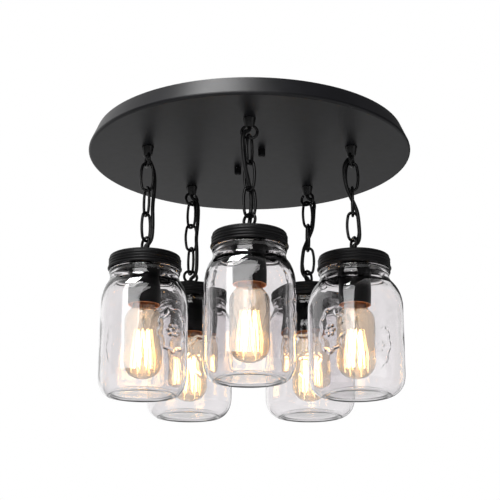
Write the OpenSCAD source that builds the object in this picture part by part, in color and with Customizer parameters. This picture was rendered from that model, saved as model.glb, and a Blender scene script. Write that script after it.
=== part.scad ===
// Five-light jar fixture: a round steel pan on the ceiling carries five short
// chains, and each chain carries a screw-top glass jar with a bulb inside.
// Millimetres. The ceiling plane is z = 0 and everything hangs below it.

/* [Ceiling pan] */
// Diameter of the pan's flat lower face
pan_d = 400; // [330:5:520]
// Diameter of the rim that meets the ceiling
pan_rim_d = 382; // [320:1:500]
// Height of the pan, ceiling to lower face
pan_depth = 24.2; // [18:0.1:45]
// Thickness of the pan's sheet steel
pan_wall = 1.2; // [0.8:0.1:2.4]
// Outer radius of the pan's lower edge
pan_edge_r = 3; // [2:0.5:8]

/* [Mounting bar] */
// Direction of the bar, seen from below the ceiling, in degrees from +X
bar_azimuth = 115; // [0:1:180]
// Width of the bar
bar_w = 22; // [18:1:32]
// Thickness of the bar
bar_t = 2; // [1.5:0.1:3]
// Circle through the two ceiling-box screw holes
box_pcd = 88.9; // [84:0.1:105]
// Diameter of the ceiling-box screw holes
box_hole_d = 4.8; // [4:0.1:6]
// Steel left past a ceiling-box hole at the bar's end
bar_end = 9; // [7:0.5:15]
// Diameter of the bar's middle hole, for the house wires
bar_eye_d = 11; // [8:0.5:16]
// Distance between the two studs that hold the pan
stud_spacing = 70.5; // [64:0.5:76]
// Diameter of a stud
stud_d = 4; // [3:0.1:5]
// How far a stud passes below the pan's face
stud_proud = 5; // [4:0.5:7]
// Diameter of a cap nut
cap_nut_d = 9; // [7.5:0.1:12]
// Length of a cap nut
cap_nut_l = 10; // [9:0.5:14]
// Width across the flats of a stud's hex nut
stud_nut_af = 7; // [6.5:0.1:8.5]
// Thickness of a stud's hex nut
stud_nut_t = 3.2; // [2:0.1:4]

/* [Loops] */
// Circle on which the five chains hang
hang_circle_d = 261; // [240:1:290]
// Width of a loop's ring
loop_w = 21.5; // [19:0.5:26]
// Height of a loop's ring
loop_ring_h = 18.5; // [16.5:0.5:19]
// Height of a whole loop, seat to the ring's far side
loop_h = 26.5; // [24:0.5:34]
// Wire diameter of a loop's ring
loop_wire = 3.5; // [2.8:0.1:4]
// Diameter of the collar at its seat
collar_seat_d = 14.8; // [13.5:0.1:18]
// Diameter of the collar at the ring
collar_tip_d = 10.7; // [9:0.1:13]
// How far the collar reaches past the ring's inner wall
collar_past = 0.5; // [0.3:0.1:1.5]
// Diameter of the threaded shank
shank_d = 9.5; // [8:0.1:11]
// Length of the shank in the pan
pan_shank_l = 8; // [6.5:0.5:11]
// Length of the shank in the lid
lid_shank_l = 5.4; // [4:0.1:7]
// Bore of collar and shank, for the cord
cord_bore_d = 6; // [5.4:0.1:6.8]
// Width across the flats of a loop's locknut
loop_nut_af = 14; // [13:0.5:19]
// Thickness of a loop's locknut
loop_nut_t = 3.5; // [2.5:0.5:5]

/* [Chain] */
// Length of a link, outside
link_l = 39.1; // [37:0.1:46]
// Width of a link, outside
link_w = 18.5; // [17.5:0.1:24]
// Wire diameter of a link
link_wire = 3.5; // [2.8:0.1:3.8]
// How much wider the middle of a link is than its end arcs, on each side
link_bow = 1.3; // [0.5:0.1:1.8]
// Play between two links where one hangs in the other
link_play = 0.25; // [0.2:0.05:0.6]

/* [Lid] */
// Thickness of the lid's disc
disc_t = 0.8; // [0.6:0.1:1.4]
// Outer diameter of the screw band
band_d = 84.1; // [80:0.1:90]
// Sheet thickness of the band
band_wall = 0.9; // [0.6:0.1:1.2]
// Width of the band's inward lip over the disc
band_lip = 6.6; // [4:0.2:10]
// Height of the band below the disc's top, to the middle of its curled edge
band_drop = 14.2; // [12:0.2:15]
// Radius of the band's curled edge
curl_r = 1.45; // [1:0.05:1.8]
// Height of a ridge round the band
ridge_h = 1; // [0.3:0.05:1.1]
// Radius of the band's upper corner
band_corner_r = 2.2; // [1.2:0.1:3]

/* [Jar] */
// Width of the jar's body across its rounded corners
jar_d = 112.5; // [108:0.5:116]
// Width of the jar's body across its flat sides
jar_flat = 102; // [100:0.5:105]
// Height of the jar, sealing rim to base
jar_h = 165.3; // [160:0.5:190]
// Thickness of the jar's side
jar_wall = 2.8; // [2:0.1:3.6]
// Diameter of the ring that the jar would stand on
jar_foot_d = 77.4; // [66:0.2:84]
// Thickness of the glass under the inside floor
jar_base_t = 6; // [4:0.2:8]
// Thickness of the glass in the neck
finish_wall = 3.2; // [2.4:0.1:4]
// Play between the glass thread and the band
thread_play = 0.45; // [0.3:0.05:0.8]
// Height of the glass thread
thread_h = 1.2; // [0.8:0.1:1.8]
// Distance between two turns of the glass thread
jar_pitch = 5; // [4.2:0.1:5.4]
// Diameter of the glass bead under the band
bead_d = 86; // [84:0.2:90]
// Diameter of the neck between bead and shoulder
neck_d = 81.8; // [79:0.2:83]
// Depth of the shoulder, neck to straight side
shoulder_h = 38.5; // [34:0.5:46]
// Gap that the seal fills between disc and jar
seal_gap = 0.3; // [0.2:0.1:0.8]

/* [Socket] */
// Diameter of the socket's sleeve
sleeve_d = 38; // [37:0.5:46]
// Length of the sleeve
sleeve_l = 57.3; // [50:0.1:66]
// Wall of the sleeve
sleeve_wall = 1.2; // [0.8:0.1:1.6]
// Thickness of the sleeve's top
sleeve_cap_t = 2; // [1.5:0.1:3]
// Play between parts that slip into each other
slip = 0.2; // [0.1:0.05:0.4]

/* [Bulb] */
// Diameter of the bulb's glass
bulb_d = 45; // [40:0.5:48]
// Length of the bulb, contact to tip
bulb_l = 138; // [128:0.5:142]
// Thickness of the bulb's glass
bulb_wall = 0.9; // [0.7:0.1:1.3]
// Diameter of the screw base
base_d = 26.2; // [25.6:0.1:26.8]
// Length of the screw base with its contact
base_l = 25.4; // [24:0.2:28]
// Pitch of the screw base's thread
base_pitch = 3.6; // [3:0.1:4]

/* [Wiring] */
// Diameter of a bulb's cord
cord_d = 4.8; // [3.6:0.1:5]
// Diameter of a single lead in the pan
lead_d = 1.6; // [1.2:0.1:2]
// Distance of each wire connector from the middle of the pan
splice_r = 34; // [30:1:40]
// Depth below the ceiling of the first layer of leads
lead_depth = 6.5; // [6:0.1:8]
// Length of a wire connector
splice_l = 9; // [8:0.5:10]
// Diameter of a wire connector's mouth
splice_d = 12; // [10:0.5:15]
// Wall of a wire connector
splice_wall = 1.2; // [0.8:0.1:2]

/* [Hidden] */
$fn = 64;
cut = 0.5;                                   // how far a cutting tool runs past a face

// The five pendants, by place: direction from the middle of the pan, seen from above
PLACES = ["front", "left", "back_left", "back_right", "right"];
AZIMUTHS = [-90, -162, 126, 54, -18];
// Directions in which the planes of the upper ring, the three links and the lower ring lie
TWISTS = [
    [0, 66, -40, 26, -45],
    [-72, 10, -61, 53, -58],
    [36, -45, 20, -61, 25],
    [-36, 34, -80, -5, 60],
    [72, 0, 88, 15, -75]
];

// Heights of the points of every cord, from the pan's lower face
CORD_Z = [8, -12.8, -18.5, -25, -33, -45, -57, -65, -73, -81, -89, -103, -116, -122.8, -128.5, -147];
// Sideways places of those points, from the line on which the chain hangs
CORD_XY = [
    [[0, 0], [0, 0], [-5, -4.1], [-7.4, -5.4], [-7.7, -4.7], [-6.9, -3.3], [-5.5, -1.8], [-4, -0.2],
     [-2.1, 2.1], [-0.2, 4.6], [1.3, 6.1], [2, 6.7], [1.1, 6.6], [0.4, 5.4], [0, 0], [0, 0]],
    [[0, 0], [0, 0], [3.2, 4.6], [5.9, 7], [7.9, 7.5], [8.6, 7], [8.2, 6.1], [7.7, 4.8],
     [7.4, 3.2], [7.4, 1.5], [7.8, 0.2], [8.1, -0.5], [7.3, -0.6], [4.5, -0.3], [0, 0], [0, 0]],
    [[0, 0], [0, 0], [5, -0.1], [8, -0.5], [9, -0.9], [8.8, -1.4], [8.1, -2], [7.4, -2.5],
     [7, -2.8], [7.3, -2.9], [7.8, -2.8], [8, -2.6], [7.4, -2.1], [4.8, -1.2], [0, 0], [0, 0]],
    [[0, 0], [0, 0], [6.4, 0.2], [9, 0], [8.4, -1], [7.6, -1.7], [6.2, -2], [3.6, -2],
     [0.1, -2.3], [-3.3, -3.4], [-6, -4.4], [-7.9, -4.7], [-8.2, -4.1], [-5.5, -2.4], [0, 0], [0, 0]],
    [[0, 0], [0, 0], [-5, -3.6], [-8.3, -5.5], [-9.5, -5.7], [-8.7, -5.1], [-6, -3.9], [-2.5, -2.6],
     [1.1, -2], [4, -2.7], [5.6, -4], [6.6, -5.1], [6.8, -5.2], [5, -3], [0, 0], [0, 0]]
];
CORD_SIDES = 8;

// How far each jar is turned, in degrees
JAR_TURNS = [3, 10, 20, 40, 32];

// Heights, all from the pan's lower face, which is where the loops are seated
hang_r = hang_circle_d / 2;
link_pitch = link_l - 2 * link_wire - link_play;
first_link_z = -loop_h + loop_wire + link_play + link_wire;      // top of the upper link
last_link_z = first_link_z - link_l - 2 * link_pitch;            // bottom of the lower link
low_loop_z = last_link_z + link_wire + link_play + loop_wire;    // top of the lower ring
lid_z = low_loop_z - loop_h;                                     // top of the lid's disc

// A link's centre line: two end arcs and two long side arcs that run on from them
link_a = (link_w - link_wire) / 2;
link_b = (link_l - link_wire) / 2;
link_end_r = link_a - link_bow;
link_reach = link_b - link_end_r;
link_side_r = (link_a ^ 2 + link_reach ^ 2 - link_end_r ^ 2) / (2 * link_bow);
link_turn = atan2(link_reach, link_side_r - link_a);
weld_gap = 0.1;                              // half the gap between arcs that a weld fills
weld_proud = 0.05;                           // how far a weld stands above the wire

// A ring's centre line: two half circles with a short straight between them
ring_r = (loop_ring_h - loop_wire) / 2;
ring_half = (loop_w - loop_ring_h) / 2;
collar_l = loop_h - loop_ring_h + loop_wire + collar_past;

// The lid, from the top of its disc
band_r = band_d / 2;
lip_top = slip + band_wall;
thread_r = band_r - band_wall - thread_play;
finish_r = thread_r - thread_h;
disc_r = band_r - band_wall - thread_play;
ridge_step = 3.3;

// The jar, from the top of the lid's disc
rim_z = -disc_t - seal_gap;
jar_r = jar_d / 2;
jar_flat_r = jar_flat / 2;
neck_r = neck_d / 2;
foot_r = jar_foot_d / 2;
foot_z = rim_z - jar_h;
bead_r = bead_d / 2;
bead_half = 2.2;                             // half the height of the glass bead
bead_z = -band_drop - curl_r - 1.15 - bead_half;
neck_z = bead_z - bead_half - 3;
side_z = neck_z - shoulder_h;
heel_z = foot_z + 24.8;
push_up = 3.8;                               // rise of the underside inside its foot ring
turned_past = 1;                             // how far the turned body stands outside the corners
foot_w = 2.2;

// The socket, from the top of the lid's disc
sleeve_z = -disc_t;
mouth_z = sleeve_z - sleeve_l;
core_top_z = sleeve_z - sleeve_cap_t - slip / 2;
contact_z = -disc_t - lid_shank_l - 2.4;     // top of the bulb's contact
core_end_z = contact_z - base_l;
core_r = sleeve_d / 2 - sleeve_wall - slip;
core_bore_r = base_d / 2 + 0.35;

// The bulb, from its contact
base_r = base_d / 2;
glass_top = -base_l;
bulb_r = bulb_d / 2;
bulb_dome = 20.6;                            // height of the rounded end
stem_l = 44;

ROOT_NODES = ["ceiling_pan", "mounting_bar", "bar_studs", "stud_nuts", "cap_nuts", "pan_loops",
    "loop_nuts", "wire_connectors", "pan_leads", "power_cords"];
HUNG_NODES = ["link_top", "link_mid", "link_low", "lid_disc", "lid_band", "lid_loop", "socket",
    "jar", "bulb_glass", "bulb_base"];

// Points of an arc about c, from angle a0 to a1
function arc(c, r, a0, a1, n = 8) =
    [for (i = [0 : n]) c + r * [cos(a0 + (a1 - a0) * i / n), sin(a0 + (a1 - a0) * i / n)]];

// Points of the smooth curve from a to d that leaves towards b and arrives from c
function curve(a, b, c, d, n = 10) =
    [for (i = [0 : n]) let (t = i / n, s = 1 - t)
        s ^ 3 * a + 3 * s ^ 2 * t * b + 3 * s * t ^ 2 * c + t ^ 3 * d];

// Puts a piece on the line on which pendant p hangs, from the pan's lower face
module at_pendant(p) {
    translate([hang_r * cos(AZIMUTHS[p]), hang_r * sin(AZIMUTHS[p]), -pan_depth]) children();
}

// Puts a piece at the lid of pendant p, from the top of its disc
module at_lid(p) {
    at_pendant(p) translate([0, 0, lid_z]) children();
}

// Puts a piece at both studs of the mounting bar
module at_studs() {
    rotate(bar_azimuth) for (s = [-1, 1]) translate([s * stud_spacing / 2, 0, 0]) children();
}

module hex_nut(af, t, bore) {
    difference() {
        cylinder(d = af / cos(30), h = t, $fn = 6);
        translate([0, 0, -cut]) cylinder(d = bore, h = t + 2 * cut);
    }
}

// ---- ceiling pan and what holds it ----

module ceiling_pan() {
    face_r = pan_d / 2;
    rim_r = pan_rim_d / 2;
    lean = atan2(face_r - rim_r, pan_depth);         // how far the side leans in
    corner = [face_r - pan_edge_r, -pan_depth + pan_edge_r];
    inner_r = pan_edge_r - pan_wall;
    color("#26262a") difference() {
        rotate_extrude($fn = 180) polygon(concat(
            [[0, -pan_depth]],
            arc(corner, pan_edge_r, -90, lean, 6),
            [[rim_r, 0], [rim_r - pan_wall, 0]],
            arc(corner, inner_r, lean, -90, 6),
            [[0, -pan_depth + pan_wall]]
        ));
        for (p = [0 : 4]) at_pendant(p) translate([0, 0, -cut])
            cylinder(d = shank_d + slip, h = pan_wall + 2 * cut);
        at_studs() translate([0, 0, -pan_depth - cut])
            cylinder(d = stud_d + slip, h = pan_wall + 2 * cut);
    }
}

module mounting_bar() {
    reach = box_pcd / 2 + bar_end - bar_w / 2;
    color("#9a9a98") difference() {
        rotate(bar_azimuth) union() {
            translate([-reach, -bar_w / 2, -bar_t]) cube([2 * reach, bar_w, bar_t]);
            for (s = [-1, 1]) translate([s * reach, 0, -bar_t]) cylinder(d = bar_w, h = bar_t);
        }
        translate([0, 0, -bar_t - cut]) cylinder(d = bar_eye_d, h = bar_t + 2 * cut);
        rotate(bar_azimuth) for (s = [-1, 1]) translate([s * box_pcd / 2, 0, -bar_t - cut])
            cylinder(d = box_hole_d, h = bar_t + 2 * cut);
        at_studs() translate([0, 0, -bar_t - cut])
            cylinder(d = stud_d + slip / 2, h = bar_t + 2 * cut);
    }
}

module bar_studs() {
    color("#a8a8a4") at_studs() translate([0, 0, -pan_depth - stud_proud])
        cylinder(d = stud_d, h = pan_depth + stud_proud);
}

module stud_nuts() {
    color("#a8a8a4") at_studs() translate([0, 0, -bar_t - stud_nut_t])
        hex_nut(stud_nut_af, stud_nut_t, stud_d + slip / 2);
}

module cap_nuts() {
    r = cap_nut_d / 2;
    round_r = r * 0.55;
    color("#1c1c1e") at_studs() translate([0, 0, -pan_depth]) difference() {
        rotate_extrude() polygon(concat(
            [[0, 0], [r, 0]],
            arc([r - round_r, -cap_nut_l + round_r], round_r, 0, -90),
            [[0, -cap_nut_l]]
        ));
        translate([0, 0, -stud_proud - cut]) cylinder(d = stud_d + slip / 2, h = stud_proud + 2 * cut);
    }
}

// ---- loops ----

// A collar with a ring below it, hanging from z = 0, and a threaded shank above
module loop(shank_l, turn) {
    ring_mid = -loop_h + loop_ring_h / 2;
    difference() {
        union() {
            cylinder(d = shank_d, h = shank_l);
            translate([0, 0, -collar_l])
                cylinder(d1 = collar_tip_d, d2 = collar_seat_d, h = collar_l);
            rotate(turn) translate([0, 0, ring_mid]) rotate([90, 0, 0]) for (s = [0, 180]) rotate(s) {
                translate([ring_half, 0, 0]) rotate(-90) rotate_extrude(angle = 180)
                    translate([ring_r, 0]) circle(d = loop_wire, $fn = 32);
                translate([-ring_half, ring_r, 0]) rotate([0, 90, 0])
                    cylinder(d = loop_wire, h = 2 * ring_half, $fn = 32);
            }
        }
        translate([0, 0, -collar_l - cut]) cylinder(d = cord_bore_d, h = collar_l + shank_l + 2 * cut);
    }
}

module pan_loops() {
    color("#1a1a1c") for (p = [0 : 4]) at_pendant(p) loop(pan_shank_l, TWISTS[p][0]);
}

module loop_nuts() {
    color("#a8a8a4") for (p = [0 : 4]) at_pendant(p) translate([0, 0, pan_wall])
        hex_nut(loop_nut_af, loop_nut_t, shank_d + slip / 2);
}

module lid_loop(p) {
    color("#1a1a1c") at_lid(p) mirror([0, 0, 1]) loop(disc_t + lid_shank_l, TWISTS[p][4]);
}

// ---- chain ----

// Wire bent to radius r, turning by the given angle each way from +X and stopping short of both ends
module bent_wire(r, turn) {
    a = turn - weld_gap / r * 180 / PI;
    rotate(-a) rotate_extrude(angle = 2 * a, $fn = r > link_l ? 200 : 64)
        translate([r, 0]) circle(d = link_wire, $fn = 32);
}

// Link k of pendant p, counted from the top: four arcs of wire and the welds between them
module link(p, k) {
    color("#17171a") at_pendant(p)
        translate([0, 0, first_link_z - k * link_pitch - link_l / 2])
            rotate(TWISTS[p][k + 1]) rotate([90, 0, 0]) for (s = [0, 180]) rotate(s) {
                translate([link_a - link_side_r, 0, 0]) bent_wire(link_side_r, link_turn);
                translate([0, link_reach, 0]) rotate(90) bent_wire(link_end_r, 90 - link_turn);
                for (m = [-1, 1]) translate([link_end_r * cos(link_turn),
                    m * (link_reach + link_end_r * sin(link_turn)), 0])
                    sphere(d = link_wire + 2 * weld_proud, $fn = 32);
            }
}

// ---- lid ----

module lid_disc(p) {
    color("#1c1c1e") at_lid(p) translate([0, 0, -disc_t]) difference() {
        cylinder(r = disc_r, h = disc_t);
        translate([0, 0, -cut]) cylinder(d = shank_d + slip, h = disc_t + 2 * cut);
    }
}

module lid_band(p) {
    inner_r = band_r - band_wall;
    corner = [band_r - band_corner_r, lip_top - band_corner_r];
    color("#1c1c1e") at_lid(p) rotate_extrude($fn = 96) polygon(concat(
        [[band_r - band_lip, slip], [band_r - band_lip, lip_top]],
        arc(corner, band_corner_r, 90, 0, 6),
        [for (i = [1 : 3], e = [-1, 0, 1])
            [band_r + (e == 0 ? ridge_h : 0), -ridge_step * i - e - 0.6]],
        arc([band_r + curl_r - band_wall, -band_drop], curl_r, 120, -180, 14),
        arc([inner_r - 1, slip - 1], 1, 0, 90, 3)
    ));
}

// ---- jar ----

// A prism with four flat sides, and corners that are rounded so that they reach radius r
module jar_panels(r, flat_r, h) {
    corner_r = (sqrt(2) * flat_r - r) / (sqrt(2) - 1);
    spread = flat_r - corner_r;
    for (k = [0 : 3]) rotate(90 * k) translate([spread, spread, 0])
        cylinder(r = corner_r, h = h, $fn = 96);
    for (k = [0, 90]) rotate(k) translate([-flat_r, -spread, 0]) cube([2 * flat_r, 2 * spread, h]);
}

// A turned body that jar_panels has cut to its flat sides
module jar_body(profile, r, flat_r) {
    intersection() {
        rotate_extrude($fn = 96) polygon(profile);
        translate([0, 0, foot_z - cut]) jar_panels(r, flat_r, jar_h + 4 * cut);
    }
}

module jar(p) {
    body_r = jar_r + turned_past;
    inner_neck = finish_r - finish_wall;
    inner_r = body_r - jar_wall;
    floor_z = foot_z + jar_base_t;
    outer = concat(
        [[0, rim_z]],
        arc([finish_r - 1, rim_z - 1], 1, 90, 0, 4),
        [for (i = [0, 1], e = [-1.4, -0.5, 0.5, 1.4])
            [abs(e) < 1 ? thread_r : finish_r, rim_z - (i + 0.7) * jar_pitch - e]],
        [[finish_r, bead_z + bead_half]],
        arc([bead_r - bead_half, bead_z], bead_half, 60, -60, 8),
        curve([neck_r, neck_z], [neck_r, neck_z - 4], [neck_r + 2.3, neck_z - 6.8],
            [neck_r + 5.1, neck_z - 9.5], 6),
        curve([neck_r + 5.1, neck_z - 9.5], [neck_r + 8.3, neck_z - 12.6], [body_r, side_z + 16],
            [body_r, side_z], 12),
        curve([body_r, heel_z], [body_r, heel_z - 12], [body_r - 5, foot_z + 2.3],
            [foot_r, foot_z], 10),
        [[0, foot_z]]
    );
    inner = concat(
        [[0, floor_z + 0.5 * push_up]],
        curve([foot_r - 12, floor_z], [inner_r - 6, floor_z], [inner_r, heel_z - 9],
            [inner_r, heel_z + 2], 10),
        curve([inner_r, side_z], [inner_r, side_z + 15], [neck_r + 5, neck_z - 14.6],
            [inner_neck + 4.6, neck_z - 10.5], 12),
        curve([inner_neck + 4.6, neck_z - 10.5], [inner_neck + 1.6, neck_z - 7.8],
            [inner_neck, neck_z - 5], [inner_neck, neck_z], 6),
        [[inner_neck, rim_z + cut], [0, rim_z + cut]]
    );
    underside = concat(
        [[0, foot_z - cut], [foot_r - foot_w, foot_z - cut], [foot_r - foot_w, foot_z]],
        curve([foot_r - foot_w - 1, foot_z + 0.8], [foot_r - foot_w - 4, foot_z + push_up],
            [foot_r / 2, foot_z + push_up], [0, foot_z + push_up], 8)
    );
    color("#cfd6d8", 0.35) at_lid(p) rotate(JAR_TURNS[p]) difference() {
        jar_body(outer, jar_r, jar_flat_r);
        jar_body(inner, jar_r - jar_wall, jar_flat_r - jar_wall);
        rotate_extrude($fn = 96) polygon(underside);
    }
}

// ---- socket ----

module socket(p) {
    sleeve_r = sleeve_d / 2;
    shank_hole = shank_d + slip;
    color("#1e1e20") at_lid(p) {
        difference() {
            translate([0, 0, mouth_z]) cylinder(r = sleeve_r, h = sleeve_l);
            translate([0, 0, mouth_z - cut])
                cylinder(r = sleeve_r - sleeve_wall, h = sleeve_l - sleeve_cap_t + cut);
            translate([0, 0, sleeve_z - sleeve_cap_t - cut])
                cylinder(d = shank_hole, h = sleeve_cap_t + 2 * cut);
        }
        difference() {
            translate([0, 0, core_end_z]) cylinder(r = core_r, h = core_top_z - core_end_z);
            translate([0, 0, core_end_z - cut])
                cylinder(r = core_bore_r, h = contact_z - core_end_z + 2 * cut);
            translate([0, 0, contact_z]) cylinder(d = shank_hole, h = core_top_z - contact_z + cut);
        }
    }
}

// ---- bulb ----

module bulb_base(p) {
    shell_top = -3.8;
    turns = floor((base_l + shell_top - 3) / base_pitch);
    color("#b08d4a") at_lid(p) translate([0, 0, contact_z]) {
        rotate_extrude() polygon(concat(
            [[0, 0], [3.4, 0], [4.6, -1.2], [base_r - 2.4, shell_top]],
            [for (i = [0 : turns - 1], e = [0.1, 0.5, 0.9])
                [e == 0.5 ? base_r : base_r - 0.7, shell_top - (i + e) * base_pitch]],
            [[base_r, -base_l + 2], [base_r, -base_l], [0, -base_l]]
        ));
        translate([0, 0, -base_l - stem_l]) cylinder(r1 = 1.6, r2 = 4.2, h = stem_l);
    }
}

module bulb_glass(p) {
    neck_end = glass_top - 26;                       // where the neck starts to widen fast
    wide_z = glass_top - 42;
    dome_z = -bulb_l + bulb_dome;
    neck = base_r - 0.3;
    steps = 12;
    color("#e8c58a", 0.4) at_lid(p) translate([0, 0, contact_z]) rotate_extrude() polygon(concat(
        curve([neck, glass_top], [neck, neck_end], [bulb_r - 1, neck_end - 1], [bulb_r, wide_z], 12),
        [for (i = [0 : steps - 1])
            [bulb_r * cos(90 * i / steps), dome_z - bulb_dome * sin(90 * i / steps)]],
        [[0, -bulb_l], [0, -bulb_l + bulb_wall]],
        [for (i = [steps - 1 : -1 : 0]) [(bulb_r - bulb_wall) * cos(90 * i / steps),
            dome_z - (bulb_dome - bulb_wall) * sin(90 * i / steps)]],
        curve([bulb_r - bulb_wall, wide_z], [bulb_r - 1 - bulb_wall, neck_end - 1],
            [neck - bulb_wall, neck_end], [neck - bulb_wall, glass_top], 12)
    ));
}

// ---- wiring ----

// A tube through points p, one ring of CORD_SIDES corners at each point; it never runs along side
module tube(p, r, side = [0, 1, 0]) {
    last = len(p) - 1;
    ways = [for (i = [0 : last]) let (v = p[min(i + 1, last)] - p[max(i - 1, 0)]) v / norm(v)];
    rings = [for (i = [0 : last]) let (
            t = ways[i],
            u = cross(side, t),
            x = u / norm(u),
            y = cross(t, x))
        [for (k = [0 : CORD_SIDES - 1]) let (a = 360 * k / CORD_SIDES)
            p[i] + r * (cos(a) * x + sin(a) * y)]];
    polyhedron(
        [for (ring = rings) each ring],
        concat(
            [[for (k = [0 : CORD_SIDES - 1]) k]],
            [for (i = [0 : last - 1], k = [0 : CORD_SIDES - 1], half = [0, 1]) let (
                    n = CORD_SIDES,
                    a = i * n + k,
                    b = i * n + (k + 1) % n)
                half == 0 ? [a, a + n, b] : [b, a + n, b + n]],
            [[for (k = [CORD_SIDES - 1 : -1 : 0]) last * CORD_SIDES + k]]
        ));
}

module power_cords() {
    color("#121214") for (p = [0 : 4]) at_pendant(p)
        tube([for (i = [0 : len(CORD_Z) - 1]) [CORD_XY[p][i][0], CORD_XY[p][i][1], CORD_Z[i]]],
            cord_d / 2);
}

// The mouth of the wire connector on side s (1 or -1), at the height of its layer of leads
function splice(s) = [s * splice_r * cos(bar_azimuth - 90), s * splice_r * sin(bar_azimuth - 90),
    -lead_depth - (s < 0 ? 2 * lead_d : 0)];

// A lead goes up from its cord's end, across to its connector and down into it
module pan_leads() {
    up = [0, 0, 1];
    bend = 2.4;
    for (s = [-1, 1], p = [0 : 4]) {
        mouth = splice(s);
        side = s * 0.6 * lead_d * [-sin(AZIMUTHS[p]), cos(AZIMUTHS[p]), 0];
        foot = [hang_r * cos(AZIMUTHS[p]), hang_r * sin(AZIMUTHS[p]), -pan_depth + CORD_Z[0]] + side;
        corner = [foot[0], foot[1], mouth[2]];
        way = (mouth - corner) / norm(mouth - corner);
        end = mouth - 1.35 * lead_d * way;
        color(s > 0 ? "#202020" : "#e8e8e4") tube(concat(
            [foot],
            [for (a = [0 : 30 : 90]) corner + bend * ((1 - cos(a)) * way - (1 - sin(a)) * up)],
            [for (a = [0 : 30 : 90]) end - bend * ((1 - sin(a)) * way + (1 - cos(a)) * up)],
            [end - (splice_l - 1.5) * up]
        ), lead_d / 2, cross(up, way));
    }
}

module wire_connectors() {
    bundle_r = 1.85 * lead_d + slip / 2;
    color("#c8a21e") for (s = [-1, 1]) translate(splice(s) - [0, 0, splice_l + 2]) difference() {
        cylinder(d1 = 0.75 * splice_d, d2 = splice_d, h = splice_l);
        translate([0, 0, splice_wall])
            cylinder(r1 = bundle_r, r2 = bundle_r + slip, h = splice_l);
    }
}

// ---- nodes ----

ceiling_pan();
mounting_bar();
bar_studs();
stud_nuts();
cap_nuts();
pan_loops();
loop_nuts();
wire_connectors();
pan_leads();
power_cords();
for (p = [0 : 4]) {
    link(p, 0);
    link(p, 1);
    link(p, 2);
    lid_disc(p);
    lid_band(p);
    lid_loop(p);
    socket(p);
    jar(p);
    bulb_glass(p);
    bulb_base(p);
}
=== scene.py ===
# %% [markdown]
# # A ceiling light with five glass jars
# A round black pan sits on the ceiling. Five short chains hang from it, and each carries a
# screw-top jar with a filament bulb. The steel parts come packed as a fixed frame. This lesson
# keeps their sizes, builds finer surfaces over them and gives every piece its real finish.

# %% Load the frame
import bpy
import numpy as np
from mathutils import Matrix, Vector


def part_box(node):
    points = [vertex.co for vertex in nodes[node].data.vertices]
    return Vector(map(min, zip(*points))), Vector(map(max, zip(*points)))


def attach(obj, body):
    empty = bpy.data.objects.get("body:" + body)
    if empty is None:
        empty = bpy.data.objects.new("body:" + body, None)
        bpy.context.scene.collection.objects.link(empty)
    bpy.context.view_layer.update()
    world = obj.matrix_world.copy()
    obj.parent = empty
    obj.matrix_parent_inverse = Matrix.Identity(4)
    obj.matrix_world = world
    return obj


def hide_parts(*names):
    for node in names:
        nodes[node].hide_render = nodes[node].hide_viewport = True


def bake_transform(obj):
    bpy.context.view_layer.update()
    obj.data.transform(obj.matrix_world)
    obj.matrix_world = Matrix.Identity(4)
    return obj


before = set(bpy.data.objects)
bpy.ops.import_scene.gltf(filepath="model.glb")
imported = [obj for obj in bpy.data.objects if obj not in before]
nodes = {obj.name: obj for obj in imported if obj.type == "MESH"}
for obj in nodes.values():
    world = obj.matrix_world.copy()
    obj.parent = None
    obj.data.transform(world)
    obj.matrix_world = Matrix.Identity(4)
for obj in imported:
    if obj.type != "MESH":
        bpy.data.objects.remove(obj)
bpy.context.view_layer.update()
scene = bpy.context.scene
scene.view_settings.view_transform = "Standard"

# %% [markdown]
# ## Sizes
# Every size below is in millimetres. The pendants hang where the lids of the frame are, so their
# axes are read from the frame and never typed. A pendant's own heights count from the pan's lower
# face, and a lid's, jar's or bulb's from the top of its lid.

# %% Places and sizes
MM = 0.001
PLACES = ["front", "left", "back_left", "back_right", "right"]
TWISTS = {                       # plane of upper ring, three links and lower ring, in degrees
    "front": [0, 66, -40, 26, -45],
    "left": [-72, 10, -61, 53, -58],
    "back_left": [36, -45, 20, -61, 25],
    "back_right": [-36, 34, -80, -5, 60],
    "right": [72, 0, 88, 15, -75],
}


def box_mm(node):
    """Lowest and highest corner of a node, in millimetres."""
    low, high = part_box(node)
    return np.array(low) / MM, np.array(high) / MM


pan_face = box_mm("ceiling_pan")[0][2]
AXES = {}
for place in PLACES:
    low, high = box_mm(place + "_lid_disc")
    AXES[place] = (low + high)[:2] / 2
lid_top = box_mm("front_lid_disc")[1][2]
jar_foot = box_mm("front_jar")[0][2] - lid_top
print("pan face", round(pan_face, 1), "lid top", round(lid_top, 1), "jar foot", round(jar_foot, 1))

# %% [markdown]
# ## Camera
# The photograph was taken from below the light, looking up at it. Its distance, height and tilt
# came from fitting the pan's ellipse, the lids and the jars' feet. The camera goes in first, so
# each later step can be checked in the photograph's own frame.

# %% Camera
FOCAL_PX, FRAME_PX = 1281.8, 500.0
camera_data = bpy.data.cameras.new("photo_camera")
camera_data.sensor_width = 36.0
camera_data.lens = FOCAL_PX / FRAME_PX * camera_data.sensor_width
camera_data.shift_x = 0.001
camera_data.shift_y = -0.0087
camera_data.clip_end = 50.0
camera = bpy.data.objects.new("photo_camera", camera_data)
camera.location = (0.0, -1.5015, -0.5998)
camera.rotation_euler = (np.radians(90 + 17.10), 0.0, 0.0)
scene.collection.objects.link(camera)
scene.camera = camera
print("lens", round(camera_data.lens, 1), "mm")

# %% [markdown]
# ## Turning arrays into meshes
# A turned or swept surface is a grid of points: rows along one parameter, columns along the
# other. One helper joins such a grid into quads. The columns always close on themselves. The rows
# close too, as in a ring, or each end gets a flat fan of faces about its middle. The signed
# volume tells whether faces point outwards, and they are turned round if it is negative.

# %% Grids to meshes


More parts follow.
